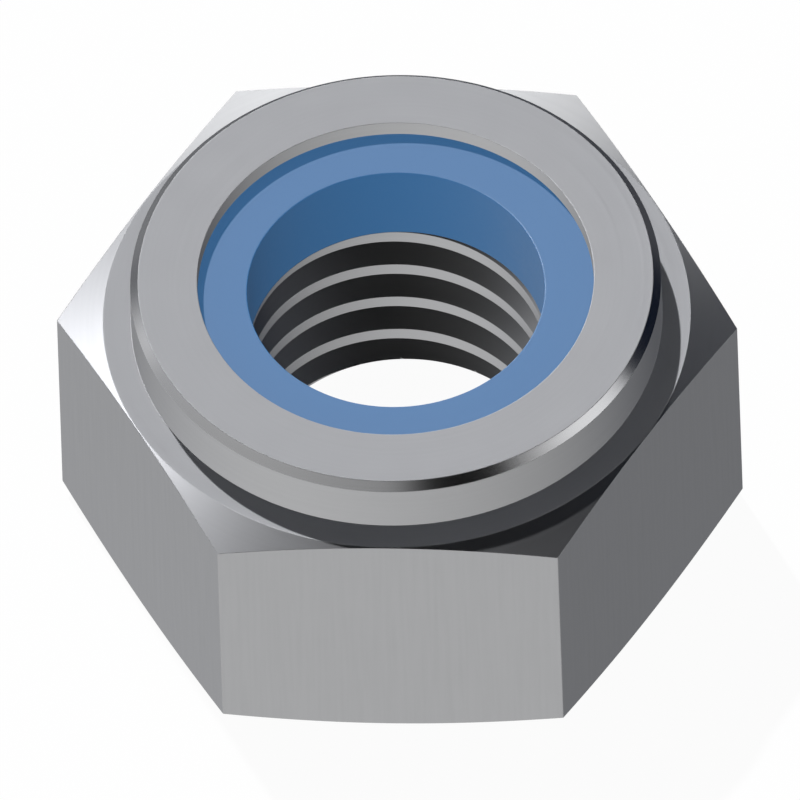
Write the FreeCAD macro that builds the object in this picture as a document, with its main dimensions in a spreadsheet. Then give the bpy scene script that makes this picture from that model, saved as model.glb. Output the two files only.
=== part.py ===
import FreeCAD, Part
import os
import Sketcher
from math import pi

# Nylon insert lock nut: a hexagon nut whose round collar holds a nylon ring under a closed lip.
# The origin is at the middle of the bearing face, the bolt axis is +Z, and a corner lies on +X.

# Driving dimensions in millimetres and degrees: alias, value, meaning
SIZES = (
    ("across_flats", 17.0, "width over two opposite sides of the hexagon"),
    ("nut_height", 10.0, "height over all"),
    ("hexagon_height", 8.22, "height of the shoulder round the collar"),
    ("bearing_diameter", 16.43, "flat circle on the bearing face"),
    ("corner_angle", 15.0, "slope of the turned corners, top and bottom"),
    ("collar_diameter", 15.32, "outside of the collar"),
    ("collar_edge", 0.23, "chamfer on the collar's top edge, both ways"),
    ("opening_diameter", 11.44, "opening inside the lip"),
    ("lip_thickness", 0.52, "metal over the insert"),
    ("recess_diameter", 12.9, "seat of the insert inside the collar"),
    ("insert_height", 2.75, "thickness of the nylon ring"),
    ("insert_bite", 0.71, "how far the nylon ring reaches inside the thread's root"),
    ("insert_clearance", 0.05, "gap round the nylon ring in its recess"),
    ("thread_diameter", 10.0, "major diameter of the thread"),
    ("thread_pitch", 1.5, "pitch of the thread"),
    ("thread_depth", 0.71, "from the thread's root to its crests"),
    ("thread_angle", 60.0, "angle between the thread's flanks"),
    ("root_width", 0.25, "flat at the thread's root"),
    ("groove_rise", 0.87, "height of the groove's middle over the bearing face, on +X"),
    ("groove_overlap", 0.1, "how far inside the crests the thread's cut begins"),
    ("turns_below", 2.0, "turns of the thread's cut below the bearing face"),
    ("turns_above", 1.0, "turns of the thread's cut above the recess's floor"),
    ("mouth_step", 0.1, "how far the countersink reaches outside the thread's root"),
    ("mouth_angle", 90.0, "angle of the countersink"),
    ("cut_margin", 1.0, "how far a cut runs past the metal"),
)

# Heights and radii that follow from the driving dimensions
DERIVED = (
    ("corner_radius", "=across_flats / sqrt(3)", "from the axis to a corner"),
    ("seat_height", "=nut_height - lip_thickness - insert_height", "floor of the recess"),
    ("insert_top", "=nut_height - lip_thickness", "underside of the lip"),
    ("root_radius", "=thread_diameter / 2", "outside of the thread"),
    ("crest_radius", "=root_radius - thread_depth", "inside of the thread"),
    ("flank_slope", "=tan(thread_angle / 2)", "half of the groove's widening over a unit of radius"),
)


def make_sheet(doc):
    """Write the dimensions into a sheet, one a row."""
    sheet = doc.addObject("Spreadsheet::Sheet", "Sizes")
    for row, (alias, value, meaning) in enumerate(SIZES + DERIVED, start=1):
        sheet.set(f"A{row}", meaning)
        sheet.set(f"B{row}", str(value))
        sheet.setAlias(f"B{row}", alias)
    doc.recompute()


def size(alias):
    """The name of one dimension inside an expression."""
    return f"Sizes.{alias}"


def value_of(sketch, text):
    """The number that an expression gives now, to draw a sketch near its final shape."""
    return float(sketch.evalExpression(text))


def origin_part(body, role):
    """The plane or axis of a body's own origin that has this role."""
    return next(part for part in body.Origin.OriginFeatures if part.Role == role)


def new_sketch(body, name, role):
    """An empty sketch on one of the body's origin planes."""
    sketch = body.newObject("Sketcher::SketchObject", name)
    sketch.AttachmentSupport = [(origin_part(body, role), "")]
    sketch.MapMode = "FlatFace"
    return sketch


def hold_start(sketch, line, x_text, y_text):
    """Hold the start of a line at a place that two expressions give."""
    for kind, text, axis in (("DistanceX", x_text, -2), ("DistanceY", y_text, -1)):
        if text == "0":
            sketch.addConstraint(Sketcher.Constraint("PointOnObject", line, 1, axis))
            continue
        value = value_of(sketch, text)
        number = sketch.addConstraint(Sketcher.Constraint(kind, -1, 1, line, 1, value))
        sketch.setExpression(f"Constraints[{number}]", text)


def add_outline(sketch, corners):
    """A closed outline of straight lines through corners, each an (x, y) pair of expressions."""
    points = [FreeCAD.Vector(value_of(sketch, x), value_of(sketch, y), 0) for x, y in corners]
    lines = [
        sketch.addGeometry(Part.LineSegment(start, end))
        for start, end in zip(points, points[1:] + points[:1])
    ]
    for line, following in zip(lines, lines[1:] + lines[:1]):
        sketch.addConstraint(Sketcher.Constraint("Coincident", line, 2, following, 1))
    for line, corner in zip(lines, corners):
        hold_start(sketch, line, *corner)


def add_quarter_arcs(sketch, radius_text):
    """A circle round the origin, drawn as four quarter arcs from axis to axis."""
    radius = value_of(sketch, radius_text)
    circle = Part.Circle(FreeCAD.Vector(), FreeCAD.Vector(0, 0, 1), radius)
    for quarter in range(4):
        start = quarter * pi / 2
        arc = sketch.addGeometry(Part.ArcOfCircle(circle, start, start + pi / 2))
        first_axis, last_axis = (-1, -2) if quarter % 2 == 0 else (-2, -1)
        sketch.addConstraint(Sketcher.Constraint("Coincident", arc, 3, -1, 1))
        sketch.addConstraint(Sketcher.Constraint("PointOnObject", arc, 1, first_axis))
        sketch.addConstraint(Sketcher.Constraint("PointOnObject", arc, 2, last_axis))
        number = sketch.addConstraint(Sketcher.Constraint("Radius", arc, radius))
        sketch.setExpression(f"Constraints[{number}]", radius_text)


def turn(body, name, kind, corners):
    """Turn an outline of (radius, height) corners round the bolt axis, to add or to cut metal."""
    sketch = new_sketch(body, name + "Outline", "XZ_Plane")
    add_outline(sketch, corners)
    feature = body.newObject(kind, name)
    feature.Profile = sketch
    feature.ReferenceAxis = (origin_part(body, "Z_Axis"), [""])
    feature.Angle = 360
    feature.Refine = False


def add_hexagon(body):
    """The hexagon blank, up to the shoulder."""
    sketch = new_sketch(body, "HexagonOutline", "XY_Plane")
    radius = size("corner_radius")
    corners = [(radius, "0")]
    corners += [(f"{radius} * cos({angle})", f"{radius} * sin({angle})") for angle in (60, 120)]
    corners += [(f"-{radius}", "0")]
    corners += [(f"{radius} * cos({angle})", f"{radius} * sin({angle})") for angle in (240, 300)]
    add_outline(sketch, corners)
    pad = body.newObject("PartDesign::Pad", "Hexagon")
    pad.Profile = sketch
    pad.setExpression("Length", size("hexagon_height"))


def cut_corners(body, name, rim_diameter, rim_height, side):
    """Turn the corners off outside a circle on the top (side +) or the bottom (side -) of the hexagon."""
    reach = f"({size('corner_radius')} + {size('cut_margin')})"
    drop = f"({reach} - {rim_diameter} / 2) * tan({size('corner_angle')})"
    low = f"{rim_height} - {drop}" if side == "+" else f"{rim_height} + {drop}"
    beyond = f"{rim_height} {side} {size('cut_margin')}"
    rim = f"{rim_diameter} / 2"
    turn(body, name, "PartDesign::Groove", [(rim, rim_height), (reach, low), (reach, beyond), (rim, beyond)])


def add_collar(body):
    """The round collar over the hexagon, with its edge chamfer."""
    outside = f"{size('collar_diameter')} / 2"
    edge = size("collar_edge")
    top = size("nut_height")
    shoulder = size("hexagon_height")
    corners = [
        ("0", shoulder),
        (outside, shoulder),
        (outside, f"{top} - {edge}"),
        (f"{outside} - {edge}", top),
        ("0", top),
    ]
    turn(body, "Collar", "PartDesign::Revolution", corners)


def cut_bore(body):
    """The hole through the thread's crests. Its quarter arcs split each turn of the crest into four faces."""
    sketch = new_sketch(body, "BoreOutline", "XY_Plane")
    add_quarter_arcs(sketch, size("crest_radius"))
    pocket = body.newObject("PartDesign::Pocket", "Bore")
    pocket.Profile = sketch
    pocket.Type = "ThroughAll"
    pocket.Reversed = True
    pocket.Refine = False


def cut_recess(body):
    """The seat of the insert, wider than the opening in the lip over it."""
    seat = f"{size('recess_diameter')} / 2"
    opening = f"{size('opening_diameter')} / 2"
    beyond = f"{size('nut_height')} + {size('cut_margin')}"
    corners = [
        ("0", size("seat_height")),
        (seat, size("seat_height")),
        (seat, size("insert_top")),
        (opening, size("insert_top")),
        (opening, beyond),
        ("0", beyond),
    ]
    turn(body, "Recess", "PartDesign::Groove", corners)


def cut_mouth(body):
    """The countersink that leads a bolt into the thread, as a cone with its tip on the axis."""
    mouth = f"({size('root_radius')} + {size('mouth_step')})"
    half_angle = f"{size('mouth_angle')} / 2"
    below = size("cut_margin")
    corners = [
        ("0", f"-{below}"),
        (f"{mouth} + {below} * tan({half_angle})", f"-{below}"),
        ("0", f"{mouth} / tan({half_angle})"),
    ]
    turn(body, "Mouth", "PartDesign::Groove", corners)


def cut_thread(body):
    """The right-hand thread: a groove with sloping flanks and a flat root, carried up a helix.

    It starts below the bearing face and ends in the recess, so both ends run out in the open.
    """
    pitch = size("thread_pitch")
    middle = f"({size('groove_rise')} - {size('turns_below')} * {pitch})"
    turns_outside = f"({size('turns_below')} + {size('turns_above')})"
    inside = f"({size('crest_radius')} - {size('groove_overlap')})"
    root = size("root_radius")
    half_root = f"{size('root_width')} / 2"
    half_mouth = f"({half_root} + ({root} - {inside}) * {size('flank_slope')})"
    corners = [
        (inside, f"{middle} - {half_mouth}"),
        (root, f"{middle} - {half_root}"),
        (root, f"{middle} + {half_root}"),
        (inside, f"{middle} + {half_mouth}"),
    ]
    sketch = new_sketch(body, "ThreadOutline", "XZ_Plane")
    add_outline(sketch, corners)
    groove = body.newObject("PartDesign::SubtractiveHelix", "Thread")
    groove.Profile = sketch
    groove.ReferenceAxis = (origin_part(body, "Z_Axis"), [""])
    groove.Mode = "pitch-height-angle"
    groove.LeftHanded = False
    groove.setExpression("Pitch", pitch)
    groove.setExpression("Height", f"{size('seat_height')} + {turns_outside} * {pitch}")
    groove.Refine = False


def make_nut_body(doc):
    """The steel piece: hexagon blank, turned corners, collar, bore, recess, countersink and thread."""
    body = doc.addObject("PartDesign::Body", "NutBody")
    body.Label = "nut_body"
    add_hexagon(body)
    cut_corners(body, "UpperCorners", size("across_flats"), size("hexagon_height"), "+")
    cut_corners(body, "LowerCorners", size("bearing_diameter"), "0", "-")
    add_collar(body)
    cut_bore(body)
    cut_recess(body)
    cut_mouth(body)
    cut_thread(body)
    return body


def make_insert(doc):
    """The nylon ring, seated on the recess's floor and held under the lip."""
    body = doc.addObject("PartDesign::Body", "NylonInsert")
    body.Label = "nylon_insert"
    inside = f"({size('root_radius')} - {size('insert_bite')})"
    outside = f"({size('recess_diameter')} / 2 - {size('insert_clearance')})"
    corners = [
        (inside, size("seat_height")),
        (outside, size("seat_height")),
        (outside, size("insert_top")),
        (inside, size("insert_top")),
    ]
    turn(body, "Ring", "PartDesign::Revolution", corners)
    return body


def check_document(doc, bodies):
    """Stop if an object failed, a piece isn't one valid solid, or a feature left its piece unchanged."""
    for item in doc.Objects:
        if {"Invalid", "Error"} & set(item.State):
            raise RuntimeError(f"{item.Name} failed: {item.State}")
    for body in bodies:
        shape = body.Shape
        if shape.isNull() or not shape.isValid() or len(shape.Solids) != 1:
            raise RuntimeError(f"{body.Label} isn't one valid solid")
        features = [item for item in body.Group if not item.isDerivedFrom("Sketcher::SketchObject")]
        volumes = [feature.Shape.Volume for feature in features]
        for feature, before, after in zip(features[1:], volumes, volumes[1:]):
            adds = feature.isDerivedFrom("PartDesign::Revolution")
            if (after > before) != adds or after == before:
                raise RuntimeError(f"{feature.Name} didn't change {body.Label} as it should")


def main():
    doc = FreeCAD.newDocument("LockNut")
    make_sheet(doc)
    bodies = [make_nut_body(doc), make_insert(doc)]
    doc.recompute()
    check_document(doc, bodies)
    os.makedirs("parts", exist_ok=True)
    for body in bodies:
        body.Shape.exportStep(f"parts/{body.Label}.step")
        print(body.Label, round(body.Shape.Volume, 3), "mm3", len(body.Shape.Faces), "faces")


main()
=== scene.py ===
from math import cos, floor, pi, radians, sin, tan

import bmesh
import bpy
import numpy as np
from mathutils import Matrix, Vector


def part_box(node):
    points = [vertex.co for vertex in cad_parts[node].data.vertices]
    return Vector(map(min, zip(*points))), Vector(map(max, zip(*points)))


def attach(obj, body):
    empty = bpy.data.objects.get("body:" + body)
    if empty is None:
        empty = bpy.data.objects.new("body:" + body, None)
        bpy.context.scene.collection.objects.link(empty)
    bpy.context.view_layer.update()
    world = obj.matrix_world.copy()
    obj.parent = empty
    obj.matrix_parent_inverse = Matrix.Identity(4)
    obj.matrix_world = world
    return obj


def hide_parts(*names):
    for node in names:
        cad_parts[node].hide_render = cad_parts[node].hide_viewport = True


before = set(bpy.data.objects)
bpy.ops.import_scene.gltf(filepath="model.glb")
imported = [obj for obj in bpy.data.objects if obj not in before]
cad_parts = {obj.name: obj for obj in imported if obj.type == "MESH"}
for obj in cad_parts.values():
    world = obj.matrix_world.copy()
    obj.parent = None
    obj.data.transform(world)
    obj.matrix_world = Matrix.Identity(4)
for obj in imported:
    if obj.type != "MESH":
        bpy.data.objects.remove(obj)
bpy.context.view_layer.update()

mm = 0.001                             # metres
nutLow, nutHigh = (np.array(corner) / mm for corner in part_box("nut_body"))
ringLow, ringHigh = (np.array(corner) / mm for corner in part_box("nylon_insert"))
print("frame loaded, nut size in mm:", (nutHigh - nutLow).round(3))


# One output of a node. The operators add Math nodes, so a mask can be written as 1 - edge * 0.5.
class Wire:
    def __init__(self, finish, socket):
        self.finish, self.socket = finish, socket

    def __add__(self, other):
        return self.finish.math("ADD", self, other)

    def __radd__(self, other):
        return self.finish.math("ADD", other, self)

    def __sub__(self, other):
        return self.finish.math("SUBTRACT", self, other)

    def __rsub__(self, other):
        return self.finish.math("SUBTRACT", other, self)

    def __mul__(self, other):
        return self.finish.math("MULTIPLY", self, other)

    def __rmul__(self, other):
        return self.finish.math("MULTIPLY", other, self)

    def __truediv__(self, other):
        return self.finish.math("DIVIDE", self, other)

    def __rtruediv__(self, other):
        return self.finish.math("DIVIDE", other, self)

    def __pow__(self, other):
        return self.finish.math("POWER", self, other)

    def __rpow__(self, other):
        return self.finish.math("POWER", other, self)

    def out(self, name):  # another output of the same node
        return Wire(self.finish, self.socket.node.outputs[name])

    def rise(self, low, high):  # 0 below low, 1 above high, smooth between them
        sockets = {"Value": self, "From Min": low, "From Max": high}
        return self.finish.node("ShaderNodeMapRange", {"interpolation_type": "SMOOTHSTEP"}, sockets)


# The node tree of a material or of the world
class Finish:
    def __init__(self, owner):
        owner.use_nodes = True
        self.tree = owner.node_tree
        self.tree.nodes.clear()

    # Any node: its settings first, then the values or links of its sockets
    def node(self, kind, settings=None, sockets=None, output=0):
        made = self.tree.nodes.new(kind)
        for name, value in (settings or {}).items():
            setattr(made, name, value)
        for place, value in (sockets or {}).items():
            if isinstance(value, Wire):
                self.tree.links.new(value.socket, made.inputs[place])
            else:
                made.inputs[place].default_value = value
        return Wire(self, made.outputs[output]) if len(made.outputs) else made

    def math(self, operation, *values):
        return self.node("ShaderNodeMath", {"operation": operation}, dict(enumerate(values)))

    def split(self, vector):
        parts = self.node("ShaderNodeSeparateXYZ", None, {0: vector})
        return parts, parts.out("Y"), parts.out("Z")

    def join(self, x, y, z):
        return self.node("ShaderNodeCombineXYZ", None, {0: x, 1: y, 2: z})

    def noise(self, vector, scale=1.0, detail=2.0):
        return self.node("ShaderNodeTexNoise", None, {"Vector": vector, "Scale": scale, "Detail": detail})

    def blend(self, factor, first, second):
        return self.node("ShaderNodeMix", {"data_type": "RGBA"}, {0: factor, 6: first, 7: second}, output=2)

    def bump(self, height, strength, distance):
        sockets = {"Height": height, "Strength": strength, "Distance": distance}
        return self.node("ShaderNodeBump", None, sockets)

    def attribute(self, name):
        return self.node("ShaderNodeAttribute", {"attribute_name": name}).out("Fac")

    def millimetres(self):  # Object coordinates, in mm
        place = self.node("ShaderNodeTexCoord").out("Object")
        return self.node("ShaderNodeVectorMath", {"operation": "SCALE"}, {0: place, "Scale": 1 / mm})


halfSector = radians(30)               # from a corner of the hexagon to the middle of a side
segmentShare = 0.4                     # most of a segment that one rounding takes
supportShare = 0.25                    # most of that length that a support takes
weldDistance = 3e-8                    # metres
creaseAngle = radians(34)              # a sharper edge is shaded sharp


# Columns round the axis, as angles: close together at each corner of the hexagon, even between them
def columnAngles(cornerHalf, shape):
    corner = np.array(shape["cornerColumns"]) * cornerHalf
    even = np.linspace(corner[-1], halfSector, shape["evenSteps"] + 1)[1:-1]
    half = np.concatenate([corner, even])
    sector = np.concatenate([-half[:0:-1], half, [halfSector]])
    return np.concatenate([sector + k * 2 * halfSector for k in range(6)])


# Angle from a corner of the hexagon to the end of its rounding: half a sector, less the arc tangent of the
# side's flat half length, (half width - rounding) * tan(half a sector), over the half width
def cornerHalfAngle(halfWidth, rounding):
    return halfSector - np.arctan((halfWidth - rounding) * tan(halfSector) / halfWidth)


# Angle from the nearest corner of the hexagon: the angle's remainder over a sector, about the corner
def offCorner(angles):
    return np.abs((angles + halfSector) % (2 * halfSector) - halfSector)


# Distance from the axis to a hexagon with rounded corners: to the flat side, half the width over the cosine
# of the angle from the side's middle, or to the rounding's circle near a corner
def hexagonRadius(angles, halfWidth, rounding):
    off = offCorner(angles)
    flat = halfWidth / np.cos(halfSector - off)
    centre = (halfWidth - rounding) / cos(halfSector)
    arc = centre * np.cos(off) + np.sqrt(np.maximum(rounding**2 - (centre * np.sin(off)) ** 2, 0))
    return np.where(off < cornerHalfAngle(halfWidth, rounding), arc, flat)


# A chain of (radius, height) points with its inner corners turned into arcs. Each arc is a rational
# quadratic curve, so a true circle, between two points equally far from the corner. A short support stands
# beyond each end, so that flats stay flat when they are shaded smooth. Gives the rows, how much each is
# edge, and its place along the chain, which is k + 0.5 on the segment after point k.
def softenChain(points, roundings, steps, support):
    rows, edge, place = [points[0]], [0.0], [0.5]
    for k in range(1, len(points) - 1):
        corner = points[k]
        before, after = points[k - 1] - corner, points[k + 1] - corner
        lengthBefore = np.linalg.norm(before, axis=-1, keepdims=True)
        lengthAfter = np.linalg.norm(after, axis=-1, keepdims=True)
        before, after = before / lengthBefore, after / lengthAfter
        halfInside = np.arccos(np.clip((before * after).sum(-1, keepdims=True), -1, 1)) / 2
        room = segmentShare * np.minimum(lengthBefore, lengthAfter)
        reach = np.minimum(roundings[k] / np.tan(halfInside), room)
        weight = np.sin(halfInside)
        start, end = corner + before * reach, corner + after * reach
        margin = np.minimum(support, supportShare * room)
        rows.append(start + before * margin)
        edge.append(0.0)
        place.append(k - 0.5)
        for t in np.linspace(0, 1, steps + 1):
            pull = 2 * t * (1 - t) * weight
            share = (1 - t) ** 2 + pull + t**2
            rows.append(((1 - t) ** 2 * start + pull * corner + t**2 * end) / share)
            edge.append(1.0)
            place.append(k - 0.5 + t)
        rows.append(end + after * margin)
        edge.append(0.0)
        place.append(k + 0.5)
    rows.append(points[-1])
    edge.append(0.0)
    place.append(len(points) - 1.5)
    return np.array(rows), np.array(edge), np.array(place)


# How much a row is on the segment after point k: 1 on it, falling to 0 along the arcs at its ends
def onSegment(place, k):
    return np.clip(1 - np.abs(place - (k + 0.5)), 0, 1)


# Faces of a grid that is closed both ways. Past the last column a row meets the same row, or from row first
# on, the one that lies shift rows before it, and at least first.
def gridFaces(total, count, first=0, shift=0):
    row, column = np.meshgrid(np.arange(total), np.arange(count), indexing="ij")
    nextColumn = (column + 1) % count

    def across(index):
        moved = np.maximum(index - shift, first)
        return np.where((index >= first) & (nextColumn == 0), moved, index) % total

    return np.stack([
        row * count + column,
        (row + 1) % total * count + column,
        across(row + 1) * count + nextColumn,
        across(row) * count + nextColumn,
    ], axis=-1).reshape(-1, 4)


# Mesh from rows by columns of radius and height, closed round the axis. x and y are radius times the cosine
# and the sine of the column's angle.
def turnedMesh(name, radius, height, angles, faces, values):
    xyz = np.stack([radius * np.cos(angles), radius * np.sin(angles), height], axis=-1) * mm
    mesh = bpy.data.meshes.new(name)
    mesh.from_pydata(xyz.reshape(-1, 3), [], faces)
    for attribute, numbers in values.items():
        layer = mesh.attributes.new(attribute, "FLOAT", "POINT")
        layer.data.foreach_set("value", np.ascontiguousarray(numbers, dtype=np.float32).ravel())
    work = bmesh.new()
    work.from_mesh(mesh)
    bmesh.ops.remove_doubles(work, verts=work.verts, dist=weldDistance)
    bmesh.ops.recalc_face_normals(work, faces=work.faces)
    work.to_mesh(mesh)
    work.free()
    mesh.shade_smooth()
    mesh.set_sharp_from_angle(angle=creaseAngle)
    piece = bpy.data.objects.new(name, mesh)
    bpy.context.scene.collection.objects.link(piece)
    print(name, len(mesh.vertices), "points", len(mesh.polygons), "faces")
    return piece


nutShape = {
    "halfWidth": nutHigh[1],           # mm, from the axis to a side
    "height": nutHigh[2],
    "hexagonHeight": 8.22,
    "bearingRadius": 8.215,
    "cornerSlope": tan(radians(15)),
    "shoulderInset": 0.03,             # the turned corner starts this far inside the sides
    "collarRadius": 7.66,
    "collarEdge": 0.23,
    "openingRadius": 5.72,
    "lipThickness": 0.52,
    "recessRadius": 6.45,
    "seatHeight": ringLow[2],
    "rootRadius": 5.0,
    "threadDepth": 0.71,
    "pitch": 1.5,
    "rootWidth": 0.25,
    "flankSlope": tan(radians(30)),
    "grooveRise": 0.87,                # the groove's middle on +X, in the first turn
    "mouthRadius": 5.1,
    "mouthFloor": 0.07,                # the thread's rows end this high in the countersink
    "cornerRounding": 0.03,
    "edgeRounding": 0.01,
    "threadRounding": 0.02,
    "support": 0.015,
    "arcSteps": 3,
    "flankSteps": 9,
    "flankLength": 0.3,                # a longer step in the thread's profile is a flank
    "cornerColumns": (0, 0.35, 0.7, 1.0, 1.5),  # beside a corner, as shares of its rounding
    "evenSteps": 24,
}


# One pitch of the thread as (height over the groove's middle, radius), from crest to crest
def threadPitch(shape):
    crest = shape["rootRadius"] - shape["threadDepth"]
    halfRoot = shape["rootWidth"] / 2
    halfMouth = halfRoot + shape["threadDepth"] * shape["flankSlope"]
    halfPitch = shape["pitch"] / 2
    corners = np.array([
        [-halfPitch, crest],
        [-halfMouth, crest],
        [-halfRoot, shape["rootRadius"]],
        [halfRoot, shape["rootRadius"]],
        [halfMouth, crest],
        [halfPitch, crest],
    ])
    roundings = [shape["threadRounding"]] * len(corners)
    soft = softenChain(corners, roundings, shape["arcSteps"], shape["support"])[0]
    steps = np.where(np.diff(soft[:, 0]) > shape["flankLength"], shape["flankSteps"], 1)
    spans = zip(soft[:-1], soft[1:], steps)
    return np.concatenate([np.linspace(start, end, count, endpoint=False) for start, end, count in spans])


# The thread's rows follow the helix: height is rise plus pitch times the turn, plus the height in the
# profile. Past its two ends a row is held at the end. The countersink is where the cone is wider than the
# thread, and the nearer row moves onto the line where they meet, which splits the step between two rows by
# their two gaps. Gives radius and height by row and column, and how many rows one turn shifts them.
def threadRows(shape, angles):
    pitch, rise = shape["pitch"], shape["grooveRise"]
    low, high = shape["mouthFloor"], shape["seatHeight"]
    onePitch = threadPitch(shape)
    first, last = floor((low - rise) / pitch) - 1, floor((high - rise) / pitch) + 1
    chain = np.concatenate([onePitch + [k * pitch, 0] for k in range(first, last + 1)])
    start = rise + pitch * angles / (2 * pi)
    held = np.clip(chain[:, 0][:, None], low - start, high - start)
    height = start + held
    gap = np.interp(held, chain[:, 0], chain[:, 1]) - (shape["mouthRadius"] - height)
    meets = gap[:-1] * gap[1:] < 0
    share = np.where(meets, gap[:-1] / np.where(meets, gap[:-1] - gap[1:], 1), 0)
    line = height[:-1] + share * np.diff(height, axis=0)
    lower, upper = meets & (share < 0.5), meets & (share >= 0.5)
    height[:-1][lower] = line[lower]
    gap[:-1][lower] = 0
    height[1:][upper] = line[upper]
    gap[1:][upper] = 0
    radius = shape["mouthRadius"] - height + np.maximum(gap, 0)
    return np.stack([radius, height], axis=-1), len(onePitch)


# The whole surface is one closed grid. Its rows run out from the countersink, up the side, over the collar,
# down to the seat, and down the thread. Past the last column, a thread row meets the row one turn on.
def makeNutBody(shape):
    cornerHalf = cornerHalfAngle(shape["halfWidth"], shape["cornerRounding"])
    angles = columnAngles(cornerHalf, shape)
    one = np.ones(len(angles))
    hexagon = hexagonRadius(angles, shape["halfWidth"], shape["cornerRounding"])
    shoulder = shape["halfWidth"] - shape["shoulderInset"]
    top, seat = shape["height"], shape["seatHeight"]
    lip = top - shape["lipThickness"]
    thread, shift = threadRows(shape, angles)
    chain = [  # radius, height, share of the edge rounding
        (shape["mouthRadius"] - shape["mouthFloor"], shape["mouthFloor"], 0),
        (shape["mouthRadius"], 0, 1),
        (shape["bearingRadius"], 0, 2),
        (hexagon, (hexagon - shape["bearingRadius"]) * shape["cornerSlope"], 1),
        (hexagon, shape["hexagonHeight"] - (hexagon - shoulder) * shape["cornerSlope"], 1),
        (shoulder, shape["hexagonHeight"], 2),
        (shape["collarRadius"], shape["hexagonHeight"], 0.3),
        (shape["collarRadius"], top - shape["collarEdge"], 1),
        (shape["collarRadius"] - shape["collarEdge"], top, 1),
        (shape["openingRadius"], top, 1),
        (shape["openingRadius"], lip, 1),
        (shape["recessRadius"], lip, 1),
        (shape["recessRadius"], seat, 1),
        (thread[-1, :, 0], seat, 0),
    ]
    sideStart, collarEdgeStart = 3, 7  # the chain's points below the side and the collar's edge chamfer
    points = np.array([np.stack([r * one, z * one], axis=-1) for r, z, _ in chain])
    roundings = [shape["edgeRounding"] * share for _, _, share in chain]
    outside, edge, place = softenChain(points, roundings, shape["arcSteps"], shape["support"])
    rows = np.concatenate([outside[:-1], thread[:0:-1]])
    outer, total = len(outside) - 1, len(rows)

    def outsideOnly(numbers):  # by row and column, 0 in the thread
        return np.concatenate([numbers[:-1], np.zeros(total - outer)])[:, None] * one

    side = outsideOnly(onSegment(place, sideStart))
    cornerLine = (offCorner(angles) < cornerHalf * 1.01) * side  # 1.01 takes in the rounding's last column
    values = {
        "edgeWear": np.maximum(outsideOnly(edge), cornerLine),
        "collarEdge": outsideOnly(onSegment(place, collarEdgeStart)),
        "hexagonSide": side,
        "tappedHole": (np.arange(total) >= outer)[:, None] * one,
    }
    faces = gridFaces(total, len(angles), outer, shift)
    return turnedMesh("nutBody", rows[..., 0], rows[..., 1], angles, faces, values)


insertShape = {
    "boreRadius": nutShape["rootRadius"] - nutShape["threadDepth"],  # mm, level with the thread's crests
    "outerRadius": ringHigh[1],
    "low": ringLow[2],
    "high": ringHigh[2],
    "edgeRounding": 0.02,
    "support": 0.02,
    "arcSteps": 4,
    "columns": 288,
}


# A rectangle of radius and height with rounded corners, turned about the axis
def makeInsert(shape):
    angles = np.arange(shape["columns"]) * 2 * pi / shape["columns"]
    one = np.ones(len(angles))
    middle = (shape["low"] + shape["high"]) / 2
    points = np.array([
        (shape["boreRadius"], middle),
        (shape["boreRadius"], shape["high"]),
        (shape["outerRadius"], shape["high"]),
        (shape["outerRadius"], shape["low"]),
        (shape["boreRadius"], shape["low"]),
        (shape["boreRadius"], middle),
    ])
    topStart = 1                       # the point where the top face starts
    roundings = [shape["edgeRounding"]] * len(points)
    soft = softenChain(points, roundings, shape["arcSteps"], shape["support"])
    profile, edge, place = (part[:-1] for part in soft)
    values = {
        "edgeWear": edge[:, None] * one,
        "topFace": onSegment(place, topStart)[:, None] * one,
    }
    radius, height = profile[:, :1] * one, profile[:, 1:] * one
    return turnedMesh("nylonRing", radius, height, angles, gridFaces(len(profile), len(angles)), values)


nutBody = makeNutBody(nutShape)
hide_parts("nut_body")
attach(nutBody, "root")
nylonRing = makeInsert(insertShape)
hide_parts("nylon_insert")
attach(nylonRing, "root")
print("pieces made")


steelFinish = {
    "colour": (0.419, 0.422, 0.43, 1),
    "dullColour": (0.36, 0.363, 0.369, 1),
    "wornColour": (0.47, 0.475, 0.48, 1),
    "cloudShare": 0.15,                # how far the clouds, the marks and the wear change the colour
    "markShare": 0.5,
    "wearShare": 0.7,
    "roughness": 0.36,
    "burnishedRoughness": 0.2,         # the chamfer round the collar
    "edgeRoughness": 0.56,             # sharp edges are scuffed
    "markSpread": 0.06,                # how far the marks and the clouds change the roughness
    "cloudSpread": 0.03,
    "ringMarks": 9.0,                  # turning marks, across a millimetre
    "ringDrift": (0.15, 0.1),          # how fast they change along X and Y
    "drawnMarks": 9.0,                 # drawn lines, round the sides and up them
    "drawnDrift": 0.3,
    "tapMarks": (8.0, 12.0, 0.2),      # marks in the thread, across it, up it and along X
    "cloudScale": 0.9,
    "markStrength": 0.5,
    "markDepth": 0.000001,             # metres
}


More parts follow.
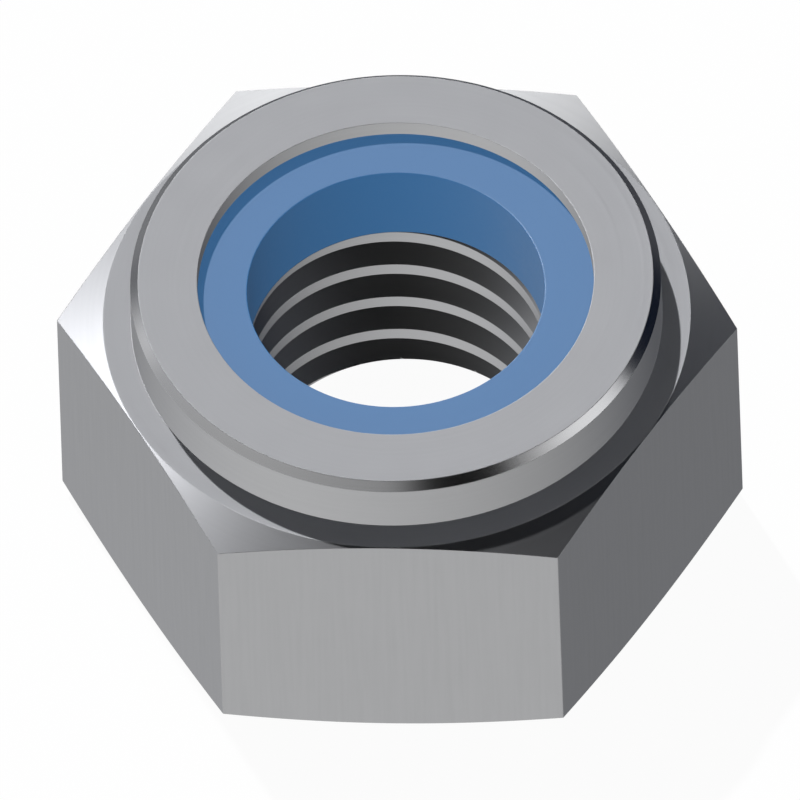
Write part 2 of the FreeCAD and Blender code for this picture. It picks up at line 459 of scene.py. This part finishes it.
# Plated steel: turning marks in rings on the faces, fine drawn lines up the sides, marks along the helix in
# the thread, by z less pitch times the turn, and edges rubbed brighter and scuffed
def plateSteel(look, pitch):
    material = bpy.data.materials.new("platedSteel")
    finish = Finish(material)
    place = finish.millimetres()
    x, y, z = finish.split(place)
    across = (x * x + y * y) ** 0.5
    side, edge = finish.attribute("hexagonSide"), finish.attribute("edgeWear")
    tapped, burnished = finish.attribute("tappedHole"), finish.attribute("collarEdge")
    ringMarks, drawnMarks = look["ringMarks"], look["drawnMarks"]
    driftX, driftY = look["ringDrift"]
    ringPlace = finish.join(across * ringMarks, z * ringMarks, x * driftX + y * driftY)
    rings = finish.noise(ringPlace, detail=3.0)
    drawn = finish.noise(finish.join(x * drawnMarks, y * drawnMarks, z * look["drawnDrift"]))
    alongHelix = z - finish.math("ARCTAN2", y, x) * (pitch / (2 * pi))
    tapAcross, tapUp, tapDrift = look["tapMarks"]
    tapMarks = finish.noise(finish.join(across * tapAcross, alongHelix * tapUp, x * tapDrift))
    marked = (rings * (1 - side) + drawn * side) * (1 - tapped) + tapMarks * tapped
    cloudy = finish.noise(place, look["cloudScale"], detail=3.0)
    dulled = cloudy * look["cloudShare"] + (marked - 0.5) * look["markShare"]
    colour = finish.blend(dulled, look["colour"], look["dullColour"])
    colour = finish.blend(edge * look["wearShare"], colour, look["wornColour"])
    uneven = (marked - 0.5) * look["markSpread"] + (cloudy - 0.5) * look["cloudSpread"]
    roughness = look["roughness"] + uneven
    roughness = roughness + burnished * (look["burnishedRoughness"] - roughness)
    roughness = roughness + edge * (look["edgeRoughness"] - roughness)
    surface = finish.node("ShaderNodeBsdfPrincipled", None, {
        "Base Color": colour,
        "Metallic": 1.0,
        "Roughness": roughness,
        "Normal": finish.bump(marked, look["markStrength"], look["markDepth"]),
    })
    finish.node("ShaderNodeOutputMaterial", None, {"Surface": surface})
    return material


nylonFinish = {
    "colour": (0.017, 0.157, 0.404, 1),
    "paleColour": (0.023, 0.172, 0.424, 1),
    "edgeShare": 0.25,                 # how far the edges and the clouds make the colour paler
    "cloudShare": 0.2,
    "roughness": 0.42,
    "grainSpread": 0.08,               # how far the grain and the clouds change the roughness
    "cloudSpread": 0.05,
    "ior": 1.53,
    "specularLevel": 0.35,
    "sheenRoughness": 0.33,            # the sheen lies on the top face alone
    "sheenIor": 1.82,
    "cloudScale": 0.6,
    "grainScale": 6.0,
    "grainStrength": 0.5,
    "grainDepth": 0.000002,            # metres
}


# Moulded nylon: a smooth satin skin with a faint uneven sheen
def mouldNylon(look):
    material = bpy.data.materials.new("blueNylon")
    finish = Finish(material)
    place = finish.millimetres()
    grain = finish.noise(place, look["grainScale"], detail=4.0)
    cloudy = finish.noise(place, look["cloudScale"])
    paler = finish.attribute("edgeWear") * look["edgeShare"] + cloudy * look["cloudShare"]
    uneven = (grain - 0.5) * look["grainSpread"] + (cloudy - 0.5) * look["cloudSpread"]
    surface = finish.node("ShaderNodeBsdfPrincipled", None, {
        "Base Color": finish.blend(paler, look["colour"], look["paleColour"]),
        "Roughness": look["roughness"] + uneven,
        "IOR": look["ior"],
        "Specular IOR Level": look["specularLevel"],
        "Coat Weight": finish.attribute("topFace"),
        "Coat Roughness": look["sheenRoughness"],
        "Coat IOR": look["sheenIor"],
        "Normal": finish.bump(grain, look["grainStrength"], look["grainDepth"]),
    })
    finish.node("ShaderNodeOutputMaterial", None, {"Surface": surface})
    return material


nutBody.data.materials.append(plateSteel(steelFinish, nutShape["pitch"]))
nylonRing.data.materials.append(mouldNylon(nylonFinish))
for piece in (nutBody, nylonRing):  # the photographed nut mirrors the room alone, and not itself
    piece.visible_glossy = piece.visible_diffuse = False
print("finishes made")


viewpoint = {
    "elevation": 51.692,               # degrees above the horizon
    "azimuth": 3.395,                  # degrees round from the front
    "roll": 1.993,
    "width": 0.023058,                 # metres across the picture
    "height": 0.076,                   # mm, of a point on the axis
    "across": -0.083,                  # mm in the picture, from that point to the middle
    "above": 2.6505,
    "distance": 0.1,                   # metres
    "nearest": 0.001,
    "farthest": 10.0,
}


# An orthographic camera: its axes are right, up and back, tilted to the elevation, rolled about back, and
# turned about Z by the azimuth
def makeCamera(look):
    up, turn = radians(look["elevation"]), radians(look["roll"])
    right, rise = np.array([1, 0, 0]), np.array([0, sin(up), cos(up)])
    back = np.array([0, -cos(up), sin(up)])
    cameraRight = cos(turn) * right - sin(turn) * rise
    cameraUp = sin(turn) * right + cos(turn) * rise
    middle = np.array([0, 0, look["height"]]) + look["across"] * cameraRight + look["above"] * cameraUp
    axes = Matrix([cameraRight, cameraUp, back]).transposed().to_4x4()
    axes.translation = Vector(middle * mm + back * look["distance"])
    data = bpy.data.cameras.new("photoCamera")
    data.type, data.ortho_scale = "ORTHO", look["width"]
    data.clip_start, data.clip_end = look["nearest"], look["farthest"]
    camera = bpy.data.objects.new("photoCamera", data)
    camera.matrix_world = Matrix.Rotation(radians(look["azimuth"]), 4, "Z") @ axes
    bpy.context.scene.collection.objects.link(camera)
    bpy.context.scene.camera = camera


studio = {
    "floorReach": 2.0,                 # metres
    "floorHeight": -0.02,              # mm, just clear of the bearing face
    "floorColour": (0.95, 0.95, 0.95, 1),
    "floorGlow": 0.88,                 # share of plain white that the camera sees on the floor
    "ambient": 0.495,                  # all round, more from above and from one side
    "ambientRise": 0.4,
    "ambientSlant": 0.257,
    "ambientSide": 235.0,              # degrees round from +X
    "sunStrength": 0.99,
    "sunColour": (0.97, 0.975, 1.0),
    "sunAzimuth": 119.2,               # degrees round from +X, found from the lip's shadow on the nylon
    "sunElevation": 53.2,
    "sunSoftness": 1.5,
}


# A large sheet, seen from above only
def makeFloor(look):
    corners = np.array([(-1, -1, 0), (1, -1, 0), (1, 1, 0), (-1, 1, 0)]) * look["floorReach"]
    corners[:, 2] = look["floorHeight"] * mm
    mesh = bpy.data.meshes.new("floor")
    mesh.from_pydata(corners, [], [(0, 1, 2, 3)])
    material = bpy.data.materials.new("paleFloor")
    finish = Finish(material)
    seen = finish.node("ShaderNodeLightPath")  # its first output, Is Camera Ray
    plain = finish.node("ShaderNodeBsdfDiffuse", None, {"Color": look["floorColour"]})
    white = finish.node("ShaderNodeEmission", None, {"Color": (1, 1, 1, 1), "Strength": 1.0})
    surface = finish.node("ShaderNodeMixShader", None, {0: seen * look["floorGlow"], 1: plain, 2: white})
    underneath = finish.node("ShaderNodeNewGeometry").out("Backfacing")
    clear = finish.node("ShaderNodeBsdfTransparent")
    surface = finish.node("ShaderNodeMixShader", None, {0: underneath, 1: surface, 2: clear})
    finish.node("ShaderNodeOutputMaterial", None, {"Surface": surface})
    mesh.materials.append(material)
    sheet = bpy.data.objects.new("floor", mesh)
    sheet.visible_glossy = sheet.visible_diffuse = False  # the world's lower half stands in for it
    bpy.context.scene.collection.objects.link(sheet)


# The cards that the metal mirrors: middle azimuth, half width, low and high elevation and softness, all in
# degrees, and strength
mirroredRoom = {
    "backCard": (95.8, 24.4, -4.0, 25.0, 6.8, 3.4),
    "leftCard": (211.3, 64.3, -11.0, 42.4, 19.0, 0.75),
    "leftFlare": (158.5, 5.0, 8.0, 32.0, 20.0, 1.0),
    "frontGlint": (341.0, 27.2, 18.6, 31.6, 6.0, 1.9),
}
mirroredFloor = {
    "level": 0.515,
    "swing": 0.437,
    "brightest": 244.0,                # degrees round from +X
    "sideLift": 0.155,
    "sideMiddle": 175.0,
    "fullBelow": -6.0,                 # degrees of elevation, from none at the horizon
    "poleGuard": 0.0001,               # so that straight down divides by something
}
mirroredHaze = {
    "tint": (0.0, 0.005, 0.02),        # a cool light from behind, though not from overhead
    "fullTo": 50.0,                    # degrees of elevation
    "goneFrom": 72.0,
    "front": -0.4,                     # the direction's Y, where it starts and where it is full
    "back": 0.2,
}


# Each card is a smooth window in azimuth and elevation. The mirrored floor's level follows the cosine of
# the azimuth from its brightest side, and the square of the cosine from the middle of two sides. The rest
# is black, but for the haze. The light on matt surfaces changes evenly with the direction, up and sideways.
def makeWorld(look, cards, ground, cool):
    world = bpy.data.worlds.new("studioWorld")
    bpy.context.scene.world = world
    finish = Finish(world)
    x, y, z = finish.split(finish.node("ShaderNodeTexCoord"))
    inDegrees = 180 / pi
    elevation = finish.math("ARCSINE", z) * inDegrees
    light = 0.0
    for middle, half, low, high, soft, strength in cards.values():
        aside, ahead = sin(radians(middle)), cos(radians(middle))
        turned = finish.math("ARCTAN2", y * ahead - x * aside, x * ahead + y * aside) * inDegrees
        off = finish.math("ABSOLUTE", turned)
        edge = soft / 2
        window = (1 - off.rise(half - edge, half + edge)) * elevation.rise(low - edge, low + edge)
        light = light + window * (1 - elevation.rise(high - edge, high + edge)) * strength
    towards, aside = radians(ground["brightest"]), radians(ground["sideMiddle"])
    flat = (x * x + y * y + ground["poleGuard"]) ** 0.5
    swing = (x * cos(towards) + y * sin(towards)) / flat * ground["swing"]
    sideways = (x * cos(aside) + y * sin(aside)) / flat
    lower = ground["level"] + swing + sideways * sideways * ground["sideLift"]
    above = elevation.rise(ground["fullBelow"], 0.0)
    light = light * above + lower * (1 - above)
    ray = finish.node("ShaderNodeLightPath")
    seen, mirrored = ray.out("Is Camera Ray"), ray.out("Is Glossy Ray")
    lean, slant = radians(look["ambientSide"]), look["ambientSlant"]
    even = look["ambient"] + z * look["ambientRise"] + (x * cos(lean) + y * sin(lean)) * slant
    strength = seen + (1 - seen) * (mirrored * light + (1 - mirrored) * even)
    notOverhead = 1 - elevation.rise(cool["fullTo"], cool["goneFrom"])
    haze = mirrored * notOverhead * y.rise(cool["front"], cool["back"])
    colour = finish.join(*(strength + haze * part for part in cool["tint"]))
    background = finish.node("ShaderNodeBackground", None, {"Color": colour, "Strength": 1.0})
    finish.node("ShaderNodeOutputWorld", None, {"Surface": background})


# Far light, from the direction (cos azimuth * cos elevation, sin azimuth * cos elevation, sin elevation)
def makeSun(look):
    data = bpy.data.lights.new("windowLight", "SUN")
    data.energy, data.angle = look["sunStrength"], radians(look["sunSoftness"])
    data.color = look["sunColour"]
    sun = bpy.data.objects.new("windowLight", data)
    around, up = radians(look["sunAzimuth"]), radians(look["sunElevation"])
    towards = Vector((cos(around) * cos(up), sin(around) * cos(up), sin(up)))
    sun.matrix_world = towards.to_track_quat("Z", "Y").to_matrix().to_4x4()
    bpy.context.scene.collection.objects.link(sun)


makeCamera(viewpoint)
makeFloor(studio)
makeWorld(studio, mirroredRoom, mirroredFloor, mirroredHaze)
makeSun(studio)
bpy.context.scene.view_settings.view_transform = "Standard"
print("camera and light made")
